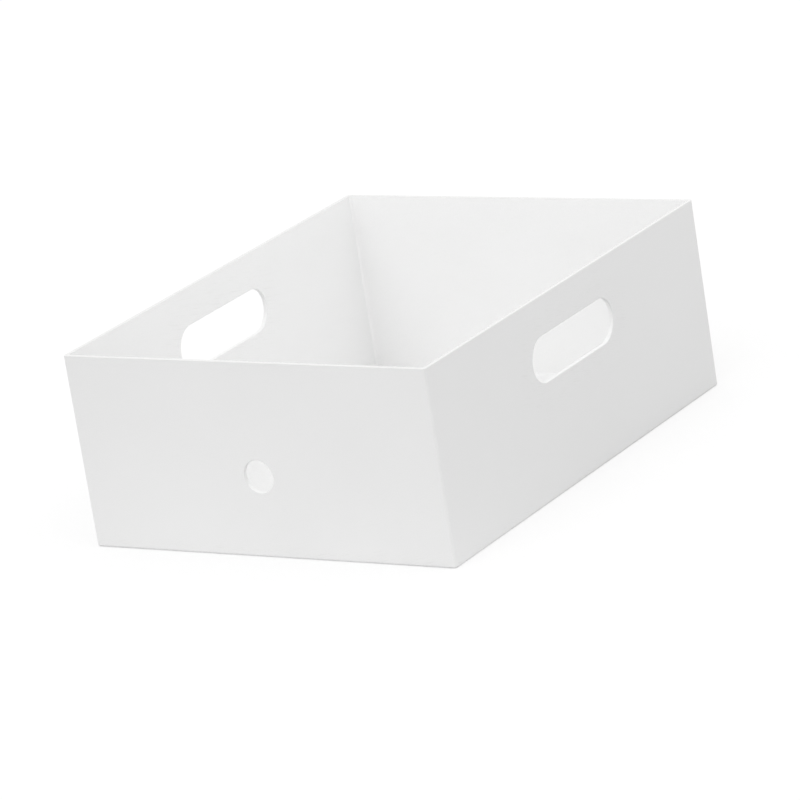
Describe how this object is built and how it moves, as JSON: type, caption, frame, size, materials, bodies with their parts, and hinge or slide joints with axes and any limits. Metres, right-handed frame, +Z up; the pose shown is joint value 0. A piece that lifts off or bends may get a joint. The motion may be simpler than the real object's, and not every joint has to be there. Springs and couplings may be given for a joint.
{
  "type": "file storage box",
  "caption": "Low open-topped white plastic storage box with straight walls, a hand slot in each long side wall and a round finger hole in the front wall.",
  "frame": {"origin": "centre of the footprint, on the surface that the box stands on", "axes": "+Z up, +Y along the depth from the front wall with the finger hole to the back wall, +X across the width to the right-hand wall seen from the front"},
  "size_m": [0.252, 0.318, 0.12],
  "materials": {
    "white_polypropylene": "neutral white polypropylene, satin with a fine moulded grain"
  },
  "bodies": {
    "root": {"floor_panel": "white_polypropylene", "front_wall": "white_polypropylene", "back_wall": "white_polypropylene", "left_wall": "white_polypropylene", "right_wall": "white_polypropylene"}
  },
  "joints": []
}
